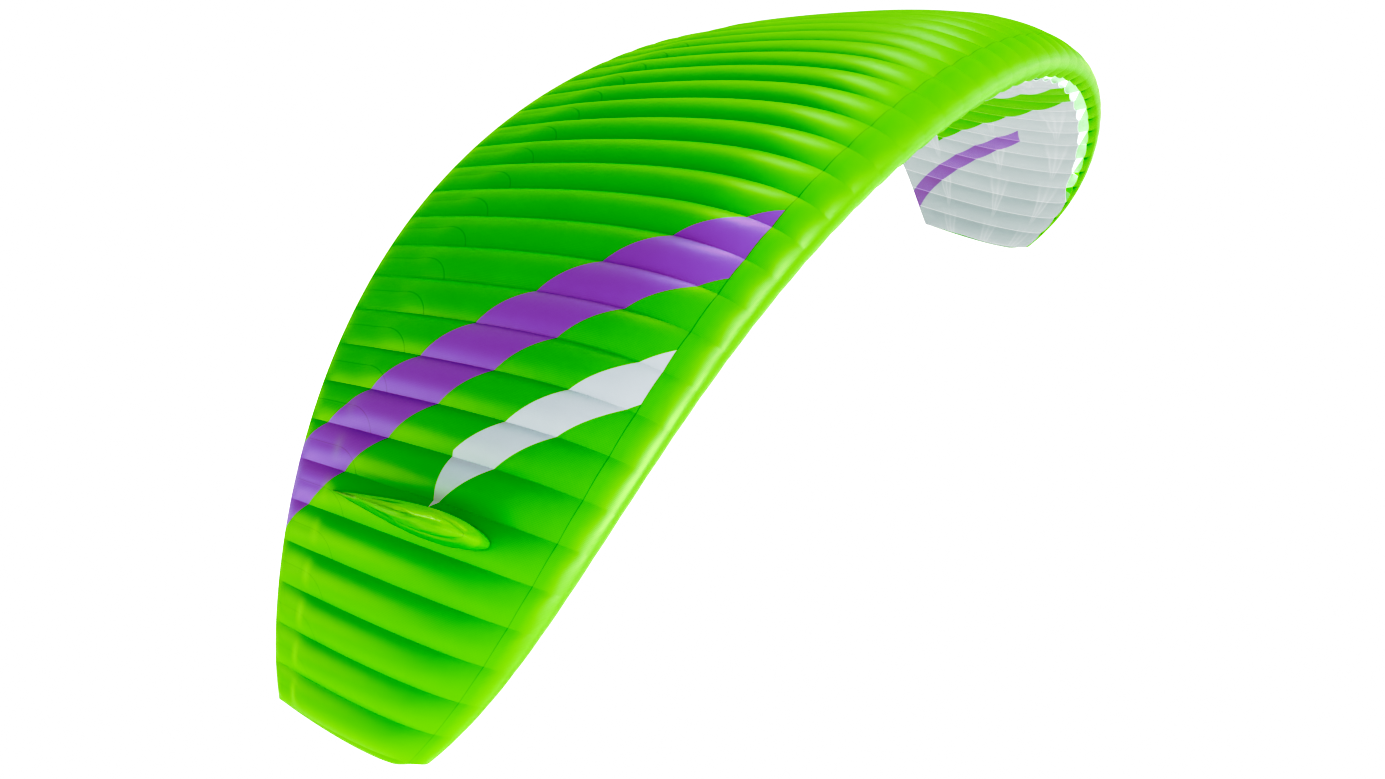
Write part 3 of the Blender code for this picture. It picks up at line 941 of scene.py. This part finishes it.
def dress_ribs():
    """The solids' own ribs are shown, in a cloth that glows."""
    material = plain_material("rib cloth", RIB, RIB_GLOW)
    for name in RIBS:
        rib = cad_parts[name]
        rib.data.materials.clear()
        rib.data.materials.append(material)


def dress_inside():
    points, faces = diagonal_ribs()
    material = plain_material("strap cloth", WHITE, STRAP_GLOW)
    straps = new_piece("diagonal_ribs", points, faces, material, smooth=False)
    material = plain_material("inner cloth", GREEN, INNER_GLOW)
    lining = skin("skin_inside", TOP_STEPS, inner_wraps, material, INNER_LIFT)


def dress_lips():
    for name, end_at, material, slot in (
        ("upper_lip_hem", nose_end, plain_material("upper hem", GREEN), "nose_cloth"),
        ("lower_lip_hem", under_start, plain_material("lower hem", PALE), "under_cloth"),
    ):
        tube = lip_hem(end_at)
        rows, columns, _ = tube.shape
        hem = new_piece(name, tube.reshape(-1, 3), grid_faces(rows, columns), material)


def dress_tips():
    material = tip_material()
    for name, station, solid in (
        ("tip_panel_right", 0.0, "tip_right"),
        ("tip_panel_left", float(CELLS), "tip_left"),
    ):
        piece = tip_piece(name, station, material)
        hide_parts(solid)


def dress_fins():
    material = fin_material()
    for name, station, side, solid in (
        ("fin_pillow_right", FIN_CELL + 0.5, -1, "fin_right"),
        ("fin_pillow_left", CELLS - FIN_CELL - 0.5, 1, "fin_left"),
    ):
        piece = fin_piece(name, station, side, material)
        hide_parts(solid)


# ---------------------------------------------------------------- studio
CAMERA_AZIMUTH = -1.03766
CAMERA_ELEVATION = 0.46280
CAMERA_ROLL = 0.01742
CAMERA_TARGET = np.array((0.7611, 2.5886, -2.8914)) - ORIGIN
CAMERA_DISTANCE = 13.6516
CAMERA_REACH = 500.0
PHOTO_WIDTH = 1385
PHOTO_FOCAL = 1661.87  # in the photo's pixels
SENSOR_WIDTH = 36.0
FLOOR_LEVEL = -9.0
FLOOR_REACH = 160.0
FLOOR_WHITE = (0.95, 0.95, 0.95)
FLOOR_SHADE = (0.8, 0.8, 0.8)
FLOOR_CLOUDS = 0.05  # clouds over a metre
FLOOR_CLOUD_SHARE = 0.05
FLOOR_ROUGHNESS = 0.9
FLOOR_GLOW = 0.70
LIGHT_AIM = (0.0, 0.6, -0.8)
LIGHTS = (
    # name, place, size, power
    ("key", (-0.4, -10.2, 6.4), 6.5, 360.0),
    ("gloss", (-5.4, -11.3, 0.6), 6.5, 400.0),
    ("near", (-11.4, -8.6, -1.2), 5.5, 185.0),
    ("top", (6.4, 2.8, 10.0), 4.0, 510.0),
    ("side", (-9.6, 10.2, -0.5), 5.0, 290.0),
    ("rim", (11.4, 6.2, 8.1), 10.5, 180.0),
    ("edge", (11.0, -7.4, 0.3), 7.0, 120.0),
)
SKY = ((0.0, 0.36), (0.45, 0.44), (0.80, 0.34), (1.0, 0.31))  # height of the direction, brightness
CURVE = (
    # tones as rendered and as in the photo, for all three colours together
    (0.10, 0.0), (0.15, 0.01), (0.20, 0.06), (0.30, 0.215), (0.38, 0.335), (0.46, 0.53),
    (0.52, 0.63), (0.60, 0.725), (0.70, 0.82), (0.79, 0.93), (0.85, 1.0),
)
RED_CURVE = (
    (0.05, 0.0), (0.09, 0.015), (0.125, 0.06), (0.185, 0.19), (0.26, 0.285), (0.36, 0.37),
    (0.45, 0.45), (0.6, 0.6), (0.8, 0.8),
)
BLUE_CURVE = (
    (0.03, 0.0), (0.08, 0.05), (0.16, 0.15), (0.30, 0.31), (0.45, 0.45), (0.6, 0.6), (0.8, 0.8),
)
CURVE_CHANNELS = ((3, CURVE), (0, RED_CURVE), (2, BLUE_CURVE))


def place_camera():
    back = Vector((
        math.sin(CAMERA_AZIMUTH) * math.cos(CAMERA_ELEVATION),
        -math.cos(CAMERA_AZIMUTH) * math.cos(CAMERA_ELEVATION),
        math.sin(CAMERA_ELEVATION),
    ))
    right = Vector((math.cos(CAMERA_AZIMUTH), math.sin(CAMERA_AZIMUTH), 0.0))
    up = back.cross(right)
    shaded_under = right * math.cos(CAMERA_ROLL) + up * math.sin(CAMERA_ROLL)
    upright = up * math.cos(CAMERA_ROLL) - right * math.sin(CAMERA_ROLL)
    data = bpy.data.cameras.new("camera")
    data.lens = PHOTO_FOCAL / PHOTO_WIDTH * SENSOR_WIDTH
    data.sensor_width = SENSOR_WIDTH
    data.clip_end = CAMERA_REACH
    camera = show("camera", data)
    turn = Matrix((shaded_under, upright, back)).transposed().to_4x4()
    camera.matrix_world = Matrix.Translation(Vector(CAMERA_TARGET) + back * CAMERA_DISTANCE) @ turn
    bpy.context.scene.camera = camera


def area_light(name, place, size, power):
    data = bpy.data.lights.new(name, "AREA")
    data.size = size
    data.energy = power
    light = show(name, data)
    toward = Vector(LIGHT_AIM) - Vector(place)
    turn = toward.to_track_quat("-Z", "Y").to_matrix().to_4x4()
    light.matrix_world = Matrix.Translation(place) @ turn


def lay_floor():
    mesh = bpy.data.meshes.new("floor")
    ways = ((-1, -1), (1, -1), (1, 1), (-1, 1))
    corners = [(x * FLOOR_REACH, y * FLOOR_REACH, FLOOR_LEVEL) for x, y in ways]
    mesh.from_pydata(corners, [], [(0, 1, 2, 3)])
    floor = show("floor", mesh)
    nodes = Nodes("floor")
    vector = nodes.put("ShaderNodeTexCoord").outputs["Object"]
    cloud = nodes.times(nodes.noise(vector, FLOOR_CLOUDS), FLOOR_CLOUD_SHARE)
    nodes.link(Base_Color=nodes.mix(cloud, FLOOR_WHITE, FLOOR_SHADE))
    nodes.set(
        Roughness=FLOOR_ROUGHNESS,
        Emission_Color=(*CLEAR_WHITE, 1.0),
        Emission_Strength=FLOOR_GLOW,
    )
    mesh.materials.append(nodes.material)


def light_sky():
    """A soft sky whose brightness follows the height of the direction."""
    world = bpy.data.worlds.new("studio")
    bpy.context.scene.world = world
    world.use_nodes = True
    tree = world.node_tree
    background = tree.nodes["Background"]
    direction = tree.nodes.new("ShaderNodeTexCoord").outputs["Generated"]
    split = tree.nodes.new("ShaderNodeSeparateXYZ")
    ramp = tree.nodes.new("ShaderNodeValToRGB")
    tree.links.new(direction, split.inputs[0])
    tree.links.new(split.outputs[2], ramp.inputs[0])
    stops = ramp.color_ramp.elements
    while len(stops) < len(SKY):
        stops.new(1.0)
    for stop, (place, shade) in zip(stops, SKY):
        stop.position = place
        stop.color = (shade, shade, shade, 1.0)
    tree.links.new(ramp.outputs[0], background.inputs[0])
    background.inputs[1].default_value = 1.0


def set_tones():
    view = bpy.context.scene.view_settings
    view.view_transform = "Standard"
    view.use_curve_mapping = True
    for channel, points in CURVE_CHANNELS:
        for place, value in points:
            view.curve_mapping.curves[channel].points.new(place, value)
    view.curve_mapping.extend = "HORIZONTAL"
    view.curve_mapping.update()


dress_skins()
dress_ribs()
dress_inside()
dress_lips()
dress_tips()
dress_fins()
place_camera()
lay_floor()
light_sky()
for name, place, size, power in LIGHTS:
    area_light(name, place, size, power)
set_tones()
